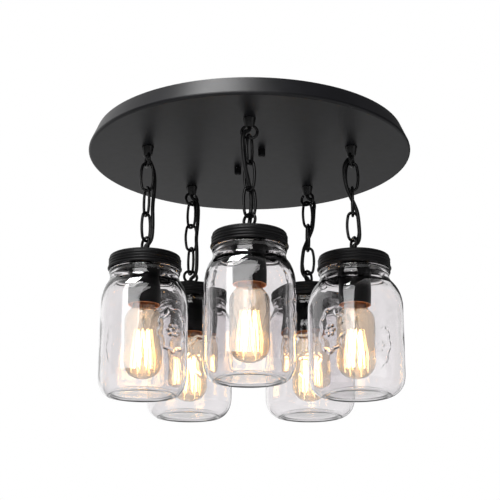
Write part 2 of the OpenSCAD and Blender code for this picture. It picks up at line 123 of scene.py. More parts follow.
def grid_faces(rows, columns, wrap_rows):
    """Quads of a grid whose columns wrap round: corner (i, j) is i * columns + j."""
    i = np.arange(rows if wrap_rows else rows - 1)[:, None]
    j = np.arange(columns)[None, :]
    i2, j2 = (i + 1) % rows, (j + 1) % columns
    corners = [i * columns + j, i * columns + j2, i2 * columns + j2, i2 * columns + j]
    return np.stack(corners, -1).reshape(-1, 4)


def closed_grid(points, wrap_rows):
    """Points and faces of a grid of points [rows, columns, 3], closed by wrapping or by fans.

    A fan's face is a quad that has the middle of the row twice.
    """
    rows, columns = points.shape[:2]
    verts = points.reshape(-1, 3)
    faces = [grid_faces(rows, columns, wrap_rows)]
    if not wrap_rows:
        j = np.arange(columns)
        j2 = (j + 1) % columns
        for row, order in ((0, (1, 0)), (rows - 1, (0, 1))):
            middle = np.full(columns, len(verts))
            verts = np.vstack([verts, points[row].mean(0)])
            pair = np.stack([row * columns + j, row * columns + j2])[list(order)]
            faces.append(np.stack([pair[0], pair[1], middle, middle], -1))
    return verts, np.vstack(faces)


def signed_volume(verts, faces):
    """Sum over quads of the volume between each of its two triangles and the origin."""
    a, b, c, d = (verts[faces[:, k]] for k in range(4))
    return ((a * np.cross(b, c)).sum() + (a * np.cross(c, d)).sum()) / 6


def make_piece(name, parts, body, material, smooth=True):
    """A mesh object of (points, wrap_rows) grids in millimetres, riding on a body of the frame."""
    all_verts, all_faces, count = [], [], 0
    for points, wrap_rows in parts:
        verts, faces = closed_grid(np.asarray(points, float), wrap_rows)
        if signed_volume(verts, faces) < 0:
            faces = faces[:, ::-1]
        all_verts.append(verts)
        all_faces.append(faces + count)
        count += len(verts)
    verts = np.vstack(all_verts) * MM
    faces = np.vstack(all_faces)
    distinct = [tuple(dict.fromkeys(face)) for face in faces.tolist()]
    mesh = bpy.data.meshes.new(name)
    mesh.from_pydata(verts.tolist(), [], [face for face in distinct if len(face) > 2])
    mesh.validate()
    mesh.polygons.foreach_set("use_smooth", np.full(len(mesh.polygons), smooth))
    mesh.materials.append(material)
    piece = bpy.data.objects.new(name, mesh)
    scene.collection.objects.link(piece)
    if body:
        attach(piece, body)
    return piece


def turned(profile, centre, columns=96):
    """A profile of (radius, height) turned about a vertical axis: (r cos a, r sin a, z)."""
    profile = np.asarray(profile, float)
    angle = np.linspace(0, 2 * np.pi, columns, endpoint=False)
    radius, height = profile[:, :1], profile[:, 1:2]
    x = centre[0] + radius * np.cos(angle)
    y = centre[1] + radius * np.sin(angle)
    return np.stack([x, y, height + 0 * angle], -1)


def curve(a, b, c, d, n):
    """n points of a smooth cubic that leaves a towards b and arrives at d from c, without d."""
    t = np.linspace(0, 1, n, endpoint=False)[:, None]
    s = 1 - t
    a, b, c, d = (np.array(v, float) for v in (a, b, c, d))
    return s**3 * a + 3 * s**2 * t * b + 3 * s * t**2 * c + t**3 * d


def arc(centre, radius, start, end, n):
    """Points of an arc: centre + radius (cos a, sin a), from start to end degrees."""
    angle = np.radians(np.linspace(start, end, n))
    return np.array(centre) + radius * np.stack([np.cos(angle), np.sin(angle)], -1)


def through(points, n):
    """n points of the smooth Catmull-Rom curve that passes through the given ones."""
    p = np.asarray(points, float)
    p = np.vstack([2 * p[0] - p[1], p, 2 * p[-1] - p[-2]])
    at = np.linspace(0, len(p) - 3 - 1e-9, n)
    k = at.astype(int)
    t = (at - k)[:, None]
    p0, p1, p2, p3 = p[k], p[k + 1], p[k + 2], p[k + 3]
    return 0.5 * (2 * p1 + (p2 - p0) * t + (2 * p0 - 5 * p1 + 4 * p2 - p3) * t**2
                  + (3 * p1 - p0 - 3 * p2 + p3) * t**3)


def swept(path, radius, sides=16, closed=False, side=(0, 1, 0)):
    """A round tube about a path: path + r (cos a u + sin a v), with u and v square to the path.

    u is the cross product of side and the path's direction, so the path never runs along side.
    """
    path = np.asarray(path, float)
    if closed:
        way = np.roll(path, -1, 0) - np.roll(path, 1, 0)
    else:
        way = np.gradient(path, axis=0)
    way /= np.linalg.norm(way, axis=1, keepdims=True)
    u = np.cross(np.broadcast_to(side, way.shape), way)
    u /= np.linalg.norm(u, axis=1, keepdims=True)
    v = np.cross(way, u)
    angle = np.linspace(0, 2 * np.pi, sides, endpoint=False)[None, :, None]
    radius = np.broadcast_to(radius, (len(path),))[:, None, None]
    around = np.cos(angle) * u[:, None, :] + np.sin(angle) * v[:, None, :]
    return path[:, None, :] + radius * around


print("helpers ready")

# %% [markdown]
# ## Finishes
# Each finish starts from what the real surface is made of. Colours are written as the hex values
# a screen shows and are turned to linear light by one function. Patterns use object coordinates
# in metres, so a scale is one over the real size of its grain.

# %% Colour and node helpers


def colour(code):
    """Linear colour of an sRGB hex code, by the sRGB curve."""
    value = np.array([int(code[k:k + 2], 16) for k in (1, 3, 5)]) / 255
    linear = np.where(value <= 0.04045, value / 12.92, ((value + 0.055) / 1.055) ** 2.4)
    return (*linear.tolist(), 1.0)


def add_node(tree, kind, settings=None, inputs=None, links=None):
    """One shader node, with its settings, its socket values and what is linked into it."""
    node = tree.nodes.new(kind)
    for key, value in (settings or {}).items():
        setattr(node, key, value)
    for key, value in (inputs or {}).items():
        node.inputs[key].default_value = value
    for key, source in (links or {}).items():
        tree.links.new(source, node.inputs[key])
    return node


def new_material(name):
    """An empty material: its node tree, its Principled shader and object coordinates."""
    material = bpy.data.materials.new(name)
    material.use_nodes = True
    tree = material.node_tree
    tree.nodes.clear()
    shader = add_node(tree, "ShaderNodeBsdfPrincipled")
    add_node(tree, "ShaderNodeOutputMaterial", links={"Surface": shader.outputs["BSDF"]})
    place = add_node(tree, "ShaderNodeTexCoord").outputs["Object"]
    return material, tree, shader, place


def ramp(tree, source, stops):
    """A colour ramp over source with (position, hex colour) stops."""
    node = add_node(tree, "ShaderNodeValToRGB", links={"Fac": source})
    while len(node.color_ramp.elements) < len(stops):
        node.color_ramp.elements.new(0.5)
    for element, (position, code) in zip(node.color_ramp.elements, stops):
        element.position = position
        element.color = colour(code)
    return node.outputs["Color"]


def spread(tree, source, low, high):
    """source, from 0 to 1, moved to the range low to high."""
    return add_node(tree, "ShaderNodeMapRange", inputs={"To Min": low, "To Max": high},
                    links={"Value": source}).outputs["Result"]


def noise(tree, place, grain_mm, detail=3.0):
    """Cloudy noise whose grains are about grain_mm across."""
    settings = {"Scale": 1000 / grain_mm, "Detail": detail}
    return add_node(tree, "ShaderNodeTexNoise", inputs=settings,
                    links={"Vector": place}).outputs["Fac"]


def bumped(tree, shader, height, depth_mm, strength=1.0):
    """Gives the shader a relief of the given depth."""
    settings = {"Distance": depth_mm * MM, "Strength": strength}
    node = add_node(tree, "ShaderNodeBump", inputs=settings, links={"Height": height})
    tree.links.new(node.outputs["Normal"], shader.inputs["Normal"])


# %% Black paint on steel


def black_paint(name, dark, light, rough_low, rough_high, peel_mm, peel_depth_mm, shine):
    """Painted steel: two near blacks in a faint cloud, and an orange-peel relief.

    shine is the share of a clear film's full mirror reflection that the pigment leaves.
    """
    material, tree, shader, place = new_material(name)
    cloud = noise(tree, place, 28.0)
    tree.links.new(ramp(tree, cloud, [(0.3, dark), (0.7, light)]), shader.inputs["Base Color"])
    tree.links.new(spread(tree, noise(tree, place, 9.0), rough_low, rough_high),
                   shader.inputs["Roughness"])
    bumped(tree, shader, noise(tree, place, peel_mm, 1.0), peel_depth_mm, 0.6)
    shader.inputs["IOR"].default_value = 1.5
    shader.inputs["Specular IOR Level"].default_value = shine
    return material


# Satin powder coat: a fine orange peel and a broad, soft sheen.
pan_paint = black_paint("satin_powder_coat", "#0a0a0c", "#0e0e11", 0.36, 0.42, 1.6, 0.02, 0.19)
# Dipped lacquer on the chain: smoother and glossier, so it shows thin bright lines.
chain_paint = black_paint("gloss_black_lacquer", "#060607", "#0a0a0b", 0.2, 0.3, 2.4, 0.02, 0.2)
# Stoved satin enamel on the lids' tinplate.
lid_paint = black_paint("satin_tin_enamel", "#0a0a0b", "#101011", 0.3, 0.42, 1.0, 0.012, 0.11)
# Satin paint on the socket's sleeve, a little more matt than the pan.
socket_paint = black_paint("satin_sleeve_paint", "#0d0d0e", "#121213", 0.36, 0.46, 1.3, 0.015,
                           0.08)
print("paints ready")

# %% Bare metals


def bare_metal(name, dark, light, rough_low, rough_high, grain_mm):
    """Bare or plated metal: a fine grain in its colour, gloss and relief."""
    material, tree, shader, place = new_material(name)
    grain = noise(tree, place, grain_mm, 6.0)
    tree.links.new(ramp(tree, grain, [(0.35, dark), (0.65, light)]), shader.inputs["Base Color"])
    tree.links.new(spread(tree, grain, rough_low, rough_high), shader.inputs["Roughness"])
    bumped(tree, shader, grain, 0.01, 0.5)
    shader.inputs["Metallic"].default_value = 1.0
    return material


# Zinc plate: bluish grey with a dull spangle.
zinc_plate = bare_metal("zinc_plated_steel", "#8f9190", "#b9bab6", 0.3, 0.45, 1.2)
# Copper-coloured lacquer on the liner inside the socket's mouth: part metal flake, part pigment.
copper_lacquer = bare_metal("copper_lacquered_liner", "#ee8a4c", "#f6ac74", 0.4, 0.5, 1.5)
copper_lacquer.node_tree.nodes["Principled BSDF"].inputs["Metallic"].default_value = 0.4
# Rolled aluminium screw base of the bulb.
base_metal = bare_metal("rolled_aluminium_base", "#a9a295", "#c9c2b2", 0.22, 0.34, 0.8)
# Nickel support wires inside the bulb.
support_wire = bare_metal("nickel_support_wire", "#8c8880", "#b0aca2", 0.3, 0.4, 0.6)
print("metals ready")

# %% Plastics


def moulded_plastic(name, dark, light, rough_low, rough_high, grain_mm, depth_mm):
    """Moulded plastic or rubber: nearly even colour with a fine mould texture."""
    material, tree, shader, place = new_material(name)
    grain = noise(tree, place, grain_mm, 2.0)
    tree.links.new(ramp(tree, grain, [(0.3, dark), (0.7, light)]), shader.inputs["Base Color"])
    tree.links.new(spread(tree, grain, rough_low, rough_high), shader.inputs["Roughness"])
    bumped(tree, shader, grain, depth_mm, 0.5)
    shader.inputs["IOR"].default_value = 1.46
    shader.inputs["Specular IOR Level"].default_value = 0.25
    return material


cord_jacket = moulded_plastic("black_pvc_jacket", "#070708", "#0c0c0d", 0.38, 0.5, 1.5, 0.03)
lead_black = moulded_plastic("black_lead_insulation", "#101011", "#161617", 0.35, 0.45, 1.0, 0.01)
lead_white = moulded_plastic("white_lead_insulation", "#d9d7cf", "#e6e4dc", 0.35, 0.45, 1.0, 0.01)
connector_shell = moulded_plastic("yellow_nylon_shell", "#c08f12", "#d2a11e", 0.4, 0.55, 0.8,
                                  0.03)
print("plastics ready")

# %% Glass and glow


def clear_glass(name, tint, rough, ior, solid=1.0):
    """Glass that bends light. solid below 1 bends that much less of it, as a thin shell does."""
    material, tree, shader, place = new_material(name)
    shader.inputs["Base Color"].default_value = colour(tint)
    shader.inputs["Roughness"].default_value = rough
    shader.inputs["IOR"].default_value = ior
    shader.inputs["Transmission Weight"].default_value = 1.0
    shader.inputs["Alpha"].default_value = solid
    return material, tree, shader, place


# Pressed soda-lime jar glass: faintly grey, with slow waves from the mould.
jar_glass, tree, shader, place = clear_glass("pressed_jar_glass", "#f4f2f3", 0.0, 1.5)
bumped(tree, shader, noise(tree, place, 22.0, 1.0), 0.25, 0.4)
# Amber-coated bulb glass, thin and smooth.
bulb_glass, tree, shader, place = clear_glass("amber_bulb_glass", "#fbefdf", 0.02, 1.45, 0.85)
bumped(tree, shader, noise(tree, place, 30.0, 1.0), 0.1, 0.4)
# Clear glass stem that carries the filament.
stem_glass, tree, shader, place = clear_glass("clear_stem_glass", "#f4efe6", 0.02, 1.5)
bumped(tree, shader, noise(tree, place, 6.0, 1.0), 0.1, 0.4)

# Carbon filament at work: yellow-white light, a little uneven along the wire.
filament_glow, tree, shader, place = new_material("glowing_carbon_filament")
tree.links.new(ramp(tree, noise(tree, place, 6.0, 1.0), [(0.3, "#ffc474"), (0.7, "#ffdc9c")]),
               shader.inputs["Emission Color"])
shader.inputs["Base Color"].default_value = colour("#3a2a1a")
shader.inputs["Roughness"].default_value = 0.6
shader.inputs["Emission Strength"].default_value = 15.0
print("glass ready")

# %% [markdown]
# ## Pan, bar and small steel parts
# These are exact turned and cut shapes already, so the frame's own solids stay and only get
# their finish.

# %% Dress the frame's own solids


def dress(node, material):
    """Puts one material on a solid of the frame."""
    nodes[node].data.materials.clear()
    nodes[node].data.materials.append(material)


for node, material in [("ceiling_pan", pan_paint), ("cap_nuts", lid_paint),
                       ("wire_connectors", connector_shell)]:
    dress(node, material)
for node in ("mounting_bar", "bar_studs", "stud_nuts", "loop_nuts"):
    dress(node, zinc_plate)
for place_name in PLACES:
    dress(place_name + "_socket", socket_paint)
print("solids dressed")

# %% [markdown]
# ## Chain and loops
# A link is wire bent to an oval and butt-welded on one side. A turned or lofted shape would miss
# that, so a round section is carried along the link's own centre line, with a low swelling at
# the weld. A loop is a ring on a collar that carries a hollow threaded shank.

# %% Chain links
LINK_LENGTH, LINK_WIDTH, LINK_WIRE, LINK_BOW, LINK_PLAY = 39.1, 18.5, 3.5, 1.3, 0.25
WELD_SWELL, WELD_LENGTH = 0.07, 1.1
LOOP_WIDTH, LOOP_RING, LOOP_HEIGHT, LOOP_WIRE = 21.5, 18.5, 26.5, 3.5


def link_line(n=96):
    """Centre line of a link in its own plane: two end arcs, two long side arcs, even steps."""
    half_width, half_length = (LINK_WIDTH - LINK_WIRE) / 2, (LINK_LENGTH - LINK_WIRE) / 2
    end = half_width - LINK_BOW
    reach = half_length - end
    side = (half_width**2 + reach**2 - end**2) / (2 * LINK_BOW)
    turn = np.degrees(np.arctan2(reach, side - half_width))
    right = arc((half_width - side, 0), side, -turn, turn, 60)[:-1]
    top = arc((0, reach), end, turn, 180 - turn, 60)[:-1]
    half = np.vstack([right, top])
    line = np.vstack([half, -half, half[:1]])
    step = np.concatenate([[0], np.cumsum(np.linalg.norm(np.diff(line, axis=0), axis=1))])
    even = np.linspace(0, step[-1], n, endpoint=False)
    return np.stack([np.interp(even, step, line[:, k]) for k in (0, 1)], -1)


def upright(flat, centre, turn):
    """A flat line (x, y) stood up in the vertical plane at the given direction in degrees."""
    way = np.array([np.cos(np.radians(turn)), np.sin(np.radians(turn))])
    spot = np.zeros((len(flat), 3))
    spot[:, :2] = flat[:, :1] * way
    spot[:, 2] = flat[:, 1]
    return spot + np.array(centre)


first_link_top = pan_face - LOOP_HEIGHT + LOOP_WIRE + LINK_PLAY + LINK_WIRE
link_pitch = LINK_LENGTH - 2 * LINK_WIRE - LINK_PLAY
flat_link = link_line()
weld = 1 + WELD_SWELL * np.exp(-(flat_link[:, 1] / WELD_LENGTH) ** 2) * (flat_link[:, 0] > 0)
for place_name in PLACES:
    for k, level in enumerate(["top", "mid", "low"]):
        turn = TWISTS[place_name][k + 1]
        middle = first_link_top - k * link_pitch - LINK_LENGTH / 2
        line = upright(flat_link, (*AXES[place_name], middle), turn)
        plane = (-np.sin(np.radians(turn)), np.cos(np.radians(turn)), 0)
        wire = swept(line, LINK_WIRE / 2 * weld, 24, True, plane)
        node = f"{place_name}_link_{level}"
        piece = make_piece(node + "_wire", [(wire, True)], node, chain_paint)
        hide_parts(node)
print("15 links, pitch", round(link_pitch, 2), "mm")

# %% Loops on the pan and on the lids
COLLAR_SEAT, COLLAR_TIP, COLLAR_PAST = 14.8, 10.7, 0.5
SHANK, BORE, SHANK_THREAD, PAN_SHANK, LID_SHANK = 9.5, 6.0, 0.28, 8.0, 6.2
collar_length = LOOP_HEIGHT - LOOP_RING + LOOP_WIRE + COLLAR_PAST


def ring_line(n=72):
    """Centre line of a ring: two half circles with a short straight between them."""
    radius, half = (LOOP_RING - LOOP_WIRE) / 2, (LOOP_WIDTH - LOOP_RING) / 2
    right = arc((half, 0), radius, -90, 90, n // 2)
    return np.vstack([right, -right])


def shank_profile(length):
    """Outline of collar and shank with its bore: a cone, a shoulder, then ridges 1 mm apart."""
    height = np.arange(0.5, length - 0.3, 0.25)
    thread = SHANK / 2 - SHANK_THREAD * (0.5 + 0.5 * np.cos(2 * np.pi * height))
    outside = [(COLLAR_TIP / 2 - 0.5, -collar_length), (COLLAR_TIP / 2, -collar_length + 0.5),
               (COLLAR_SEAT / 2 - 0.15, -0.9), (COLLAR_SEAT / 2, -0.6), (COLLAR_SEAT / 2, -0.05),
               (SHANK / 2 - 0.2, 0)]
    inside = [(SHANK / 2 - 0.5, length), (BORE / 2 + 0.3, length), (BORE / 2, length - 0.3),
              (BORE / 2, -collar_length + 0.3), (BORE / 2 + 0.3, -collar_length)]
    return np.vstack([outside, np.stack([thread, height], -1), inside])


def loop_parts(centre, face, up, shank_length, turn):
    """Ring and collar of one loop. face is the height it seats on; up is 1 if its shank rises."""
    profile = shank_profile(shank_length) * [1, up] + [0, face]
    ring_middle = face - up * (LOOP_HEIGHT - LOOP_RING / 2)
    line = upright(ring_line(), (*centre, ring_middle), turn)
    plane = (-np.sin(np.radians(turn)), np.cos(np.radians(turn)), 0)
    ring = swept(line, LOOP_WIRE / 2, 24, True, plane)
    return [(ring, True), (turned(profile, centre, 48), True)]


pan_loop_parts = []
for place_name in PLACES:
    pan_loop_parts += loop_parts(AXES[place_name], pan_face, 1, PAN_SHANK, TWISTS[place_name][0])
    lid_parts = loop_parts(AXES[place_name], lid_top, -1, LID_SHANK, TWISTS[place_name][4])
    piece = make_piece(place_name + "_lid_ring", lid_parts, place_name + "_lid", chain_paint)
    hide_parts(place_name + "_lid_loop")
piece = make_piece("pan_rings", pan_loop_parts, "canopy", chain_paint)
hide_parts("pan_loops")
print("collar", round(collar_length, 1), "mm long")

# %% [markdown]
# ## Lids
# A jar lid is two stampings: a flat disc, and a screw band whose rim curls over. The band's side
# is rolled with shallow ridges, and its top corner is knurled for grip. The band's outline is
# turned, and the knurls press the radius in by a cosine power round the corner.

# %% Screw bands
BAND_RADIUS, BAND_WALL, BAND_LIP, BAND_DROP, CURL = 42.05, 0.9, 6.6, 14.2, 1.45
RIDGE_STEP, RIDGE_HEIGHT, KNURLS, KNURL_DEPTH = 3.3, 1.0, 110, 0.32


def band_profile():
    """Closed outline of the band: lip, corner arc, ridged side, curled edge, back up inside."""
    top = 0.2 + BAND_WALL
    side = np.linspace(-1.4, -12.6, 44)
    ridges = sum(np.exp(-((side + 0.6 + RIDGE_STEP * k) / 0.75) ** 2) for k in (1, 2, 3))
    wall = np.stack([BAND_RADIUS + RIDGE_HEIGHT * ridges, side], -1)
    corner = arc((BAND_RADIUS - 2.2, top - 2.2), 2.2, 90, 0, 10)
    curl = arc((BAND_RADIUS + CURL - BAND_WALL, -BAND_DROP), CURL, 115, -180, 22)
    inner = BAND_RADIUS - BAND_WALL
    under = arc((inner - 1, -0.8), 1, 0, 90, 5)
    return np.vstack([[(BAND_RADIUS - BAND_LIP, 0.35), (BAND_RADIUS - BAND_LIP, top - 0.2),
                       (BAND_RADIUS - BAND_LIP + 0.2, top)], corner, wall, curl,
                      [(inner, -BAND_DROP + 1.5)], under])


band_columns = KNURLS * 6
for place_name in PLACES:
    profile = band_profile() + [0, lid_top]
    points = turned(profile, AXES[place_name], band_columns)
    angle = np.linspace(0, 2 * np.pi, band_columns, endpoint=False)
    height = profile[:, 1:2] - lid_top
    outside = profile[:, :1] > BAND_RADIUS - 1.6
    press = KNURL_DEPTH * (0.5 + 0.5 * np.cos(KNURLS * angle)) ** 2
    press = press * outside * np.clip((height + 2.2) / 0.8, 0, 1)
    points[..., 0] -= press * np.cos(angle)
    points[..., 1] -= press * np.sin(angle)
    piece = make_piece(place_name + "_screw_band", [(points, True)], place_name + "_band",
                       lid_paint)
    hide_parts(place_name + "_lid_band")
print(KNURLS, "knurls round each band")

# %% Lid discs
DISC_RADIUS, DISC_THICK = 40.7, 0.8
GROOVE_START, GROOVE_WIDTH, GROOVE_DEPTH = 30.5, 2.2, 0.3
hole = SHANK / 2 + 0.1
step = np.linspace(0, 1, 12)
groove = np.stack([GROOVE_START + GROOVE_WIDTH * step, -GROOVE_DEPTH * np.sin(np.pi * step)], -1)
outline = np.vstack([[(hole, -DISC_THICK), (hole, -0.15), (hole + 0.15, 0), (22.0, 0)], groove,
                     [(DISC_RADIUS - 0.4, 0), (DISC_RADIUS, -0.3), (DISC_RADIUS, -0.55),
                      (DISC_RADIUS - 0.25, -DISC_THICK), (31.0, -DISC_THICK)]])
for place_name in PLACES:
    points = turned(outline + [0, lid_top], AXES[place_name])
    piece = make_piece(place_name + "_disc", [(points, True)], place_name + "_lid", lid_paint)
    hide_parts(place_name + "_lid_disc")
print("discs ready")

# %% [markdown]
# ## Jars
# A jar is pressed and blown glass: a screw finish with a bead under it, a rounded shoulder, four
# gently bowed sides and a heel that turns in to a narrow standing ring. Its outline is turned a
# little wide, then brought in to the four sides. The wall is a real wall, with an inner and an
# outer surface, because clear glass only looks right when rays bend four times on their way
# through. The outside carries a thread and a raised wreath of plain leaves, both added to the
# radius as smooth functions of angle and height.

# %% Jar outline
JAR_CORNERS, JAR_FLATS, TURNED_PAST = 56.25, 51.0, 1.0
JAR_WALL, FINISH_WALL, JAR_BASE = 2.8, 3.2, 3.0
RIM, THREAD_RADIUS, THREAD_HEIGHT, THREAD_PITCH = -1.1, 40.7, 1.2, 5.0
FINISH_RADIUS = THREAD_RADIUS - THREAD_HEIGHT
BEAD_RADIUS, BEAD_HALF, NECK_RADIUS, SHOULDER = 43.0, 2.2, 40.9, 38.5
FOOT_RADIUS, FOOT_WIDTH, PUSH_UP = 38.7, 2.2, 3.8
JAR_TURNS = {"front": 3, "left": 10, "back_left": 20, "back_right": 40, "right": 32}
BODY = JAR_CORNERS + TURNED_PAST
bead_level = -BAND_DROP - CURL - 1.15 - BEAD_HALF
neck_level = bead_level - BEAD_HALF - 3
side_level = neck_level - SHOULDER
heel_level = jar_foot + 24.8


def panel_radius(angle, corners, flats):
    """Distance from the axis to four gently bowed panels: f + (c - f) (1 - cos 4a) / 2."""
    return flats + (corners - flats) * (1 - np.cos(4 * angle)) / 2


def panelled(radius, height, panel, wall):
    """A turned radius r brought in to the panels: b + (r - b) (panel - b) / (BODY - b).

    b is the neck's radius above the middle of the jar and the foot's below, so both stay round.
    wall is how far the surface lies inside the outer one.
    """
    base = np.where(height > (side_level + heel_level) / 2, NECK_RADIUS, FOOT_RADIUS) - wall
    share = np.clip(radius - base, 0, None) / (BODY - wall - base)
    return np.minimum(radius, base) + share * (panel - base)


def offset(line, distance):
    """A line moved square to itself, to the left of its way along."""
    way = np.gradient(line, axis=0)
    way /= np.linalg.norm(way, axis=1, keepdims=True)
    return line + distance * np.stack([-way[:, 1], way[:, 0]], -1)


def heel_curve():
    """The outer heel, from the side to the standing ring."""
    return curve((BODY, heel_level), (BODY, heel_level - 12), (BODY - 5, jar_foot + 2.3),
                 (FOOT_RADIUS, jar_foot), 36)


def underside():
    """From the standing ring over the push-up to the middle."""
    edge = FOOT_RADIUS - FOOT_WIDTH
    top = jar_foot + PUSH_UP
    return curve((edge, jar_foot), (edge - 3, top), (FOOT_RADIUS / 2, top), (0.02, top), 20)


def jar_outside():
    """Outer outline from the rim down to the middle of the underside."""
    r, z = NECK_RADIUS, neck_level
    finish_levels = np.linspace(RIM - 1.4, bead_level + BEAD_HALF + 0.2, 36)
    side_levels = np.linspace(side_level, heel_level, 90, endpoint=False)
    return np.vstack([
        arc((FINISH_RADIUS - 1, RIM - 1), 1, 90, 0, 5),
        np.stack([np.full(36, FINISH_RADIUS), finish_levels], -1),
        arc((BEAD_RADIUS - BEAD_HALF, bead_level), BEAD_HALF, 60, -60, 9),
        curve((r, z), (r, z - 4), (r + 2.3, z - 6.8), (r + 5.1, z - 9.5), 9),
        curve((r + 5.1, z - 9.5), (r + 8.3, z - 12.6), (BODY, side_level + 16),
              (BODY, side_level), 30),
        np.stack([np.full(90, BODY), side_levels], -1),
        heel_curve(),
        [(FOOT_RADIUS, jar_foot), (FOOT_RADIUS - FOOT_WIDTH / 2, jar_foot)],
        underside(),
    ])


def jar_inside():
    """Inner outline from the middle of the floor up to the rim."""
    inner, neck = BODY - JAR_WALL, FINISH_RADIUS - FINISH_WALL
    z = neck_level
    floor = underside()[::-1] + [0, JAR_BASE]
    floor = floor[floor[:, 0] < FOOT_RADIUS - 7]
    heel = offset(heel_curve(), -JAR_WALL)[::-1]
    heel = heel[heel[:, 0] > FOOT_RADIUS - 3]
    side_levels = np.linspace(heel_level, side_level, 50, endpoint=False)[1:]
    return np.vstack([
        floor,
        heel,
        np.stack([np.full(49, inner), side_levels], -1),
        curve((inner, side_level), (inner, side_level + 15), (NECK_RADIUS + 5, z - 14.6),
              (neck + 4.6, z - 10.5), 22),
        curve((neck + 4.6, z - 10.5), (neck + 1.6, z - 7.8), (neck, z - 5), (neck, z), 8),
        np.stack([np.full(10, neck), np.linspace(z, RIM - 2, 10)], -1),
        arc((neck + 1, RIM - 1), 1, 170, 90, 4),
    ])


print("jar", round(RIM - jar_foot, 1), "mm high,", 2 * JAR_CORNERS, "mm across its corners")

# %% Jar relief
WREATH_WIDE, WREATH_TALL, LEAVES = 16.0, 24.0, 18
LEAF_LONG, LEAF_BROAD, LEAF_HEIGHT = 5.4, 2.1, 0.75
BERRY_RING, BERRY_HEIGHT = 5.2, 0.8
WREATH_LEVEL = (side_level + heel_level) / 2 + 4
WREATH_TURN = {"front": -12, "left": -47, "back_left": -70, "back_right": -100, "right": -128}
STIPPLES, STIPPLE_HEIGHT = 84, 0.35
WAVE_HEIGHT, JAR_COLUMNS = 0.2, 252


def smooth_step(x):
    """0 below 0, 1 above 1, and 3x^2 - 2x^3 between."""
    x = np.clip(x, 0, 1)
    return x * x * (3 - 2 * x)


def thread_relief(angle, height):
    """A helical ridge of 1.6 turns: a cosine hump where the height meets the falling helix."""
    turns = np.mod(angle, 2 * np.pi) / (2 * np.pi)
    relief = 0
    for lap in (0, 1):
        along = turns + lap
        away = (height - (RIM - 2.8 - THREAD_PITCH * along)) / 1.3
        ends = smooth_step(along / 0.08) * smooth_step((1.62 - along) / 0.08)
        relief = relief + THREAD_HEIGHT * ends * np.cos(np.clip(away, -1, 1) * np.pi / 2) ** 1.5
    return relief


def wreath_relief(angle, height, turn):
    """Leaves round an ellipse, six berries in its middle, on two opposite sides of a jar.

    A leaf is a low dome: height (1 - q)^0.7 inside its own small ellipse q < 1.
    """
    relief = np.zeros(np.broadcast(angle, height).shape)
    for side in (0, 180):
        across = (np.mod(angle - np.radians(turn + side) + np.pi, 2 * np.pi) - np.pi) * JAR_FLATS
        up = height - WREATH_LEVEL
        for k in range(LEAVES):
            spin = 2 * np.pi * k / LEAVES
            lean = np.arctan2(WREATH_TALL * np.cos(spin), -WREATH_WIDE * np.sin(spin))
            lean += 0.5 * (-1) ** k
            x = across - WREATH_WIDE * np.cos(spin)
            y = up - WREATH_TALL * np.sin(spin)
            q = ((x * np.cos(lean) + y * np.sin(lean)) / LEAF_LONG) ** 2
            q = q + ((y * np.cos(lean) - x * np.sin(lean)) / LEAF_BROAD) ** 2
            relief = np.maximum(relief, LEAF_HEIGHT * np.clip(1 - q, 0, 1) ** 0.7)
        for k in range(6):
            x = across - BERRY_RING * np.cos(np.pi * k / 3)
            y = up - BERRY_RING * np.sin(np.pi * k / 3)
            dome = np.clip(1 - (x * x + y * y) / 4.8, 0, 1) ** 0.6
            relief = np.maximum(relief, BERRY_HEIGHT * dome)
    return relief


outline = np.vstack([jar_outside()[::-1], jar_inside()[::-1]])
angle = np.linspace(0, 2 * np.pi, JAR_COLUMNS, endpoint=False)[None, :]
radius, height = outline[:, :1], outline[:, 1:2]
outer = (np.arange(len(outline)) < len(jar_outside()))[:, None]
for place_name in PLACES:
    centre = AXES[place_name]
    turn = np.radians(JAR_TURNS[place_name])
    panel = np.where(outer, panel_radius(angle - turn, JAR_CORNERS, JAR_FLATS),
                     panel_radius(angle - turn, JAR_CORNERS - JAR_WALL, JAR_FLATS - JAR_WALL))
    reach = panelled(radius, height, panel, np.where(outer, 0.0, JAR_WALL))
    finish = outer * (height > bead_level + BEAD_HALF) * (radius > FINISH_RADIUS - 0.5)
    reach = reach + finish * thread_relief(angle, height)
    body = outer * (radius > BODY - 2) * (height < side_level + 12)
    reach = reach + body * wreath_relief(angle, height, WREATH_TURN[place_name])
    wave = smooth_step((neck_level - height) / 20) * smooth_step((height - heel_level) / 20)
    wave = wave * np.sin(3 * angle + height / 17) * np.sin(height / 11 + 2 * np.cos(angle))
    reach = reach + (~outer) * WAVE_HEIGHT * wave
    ring = outer * (height < jar_foot + 1.5) * np.exp(-((radius - FOOT_RADIUS - 0.6) / 1.2) ** 2)
    level = height + ring * STIPPLE_HEIGHT * (0.5 + 0.5 * np.cos(STIPPLES * angle))
    points = np.stack([centre[0] + reach * np.cos(angle), centre[1] + reach * np.sin(angle),
                       level + lid_top], -1)
    piece = make_piece(place_name + "_glass", [(points, False)], place_name + "_jar", jar_glass)
    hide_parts(place_name + "_jar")
print("jars ready,", len(outline) * JAR_COLUMNS * 2, "triangles each")

# %% [markdown]
# ## Sockets and bulbs
# The sleeve hides a moulded core. Its mouth shows a copper-coloured liner, lit by the bulb. The
# bulb is a thin amber shell on a rolled screw base. Inside, a glass stem and two wire spiders
# hold one long filament that runs up and down like the bars of a cage.

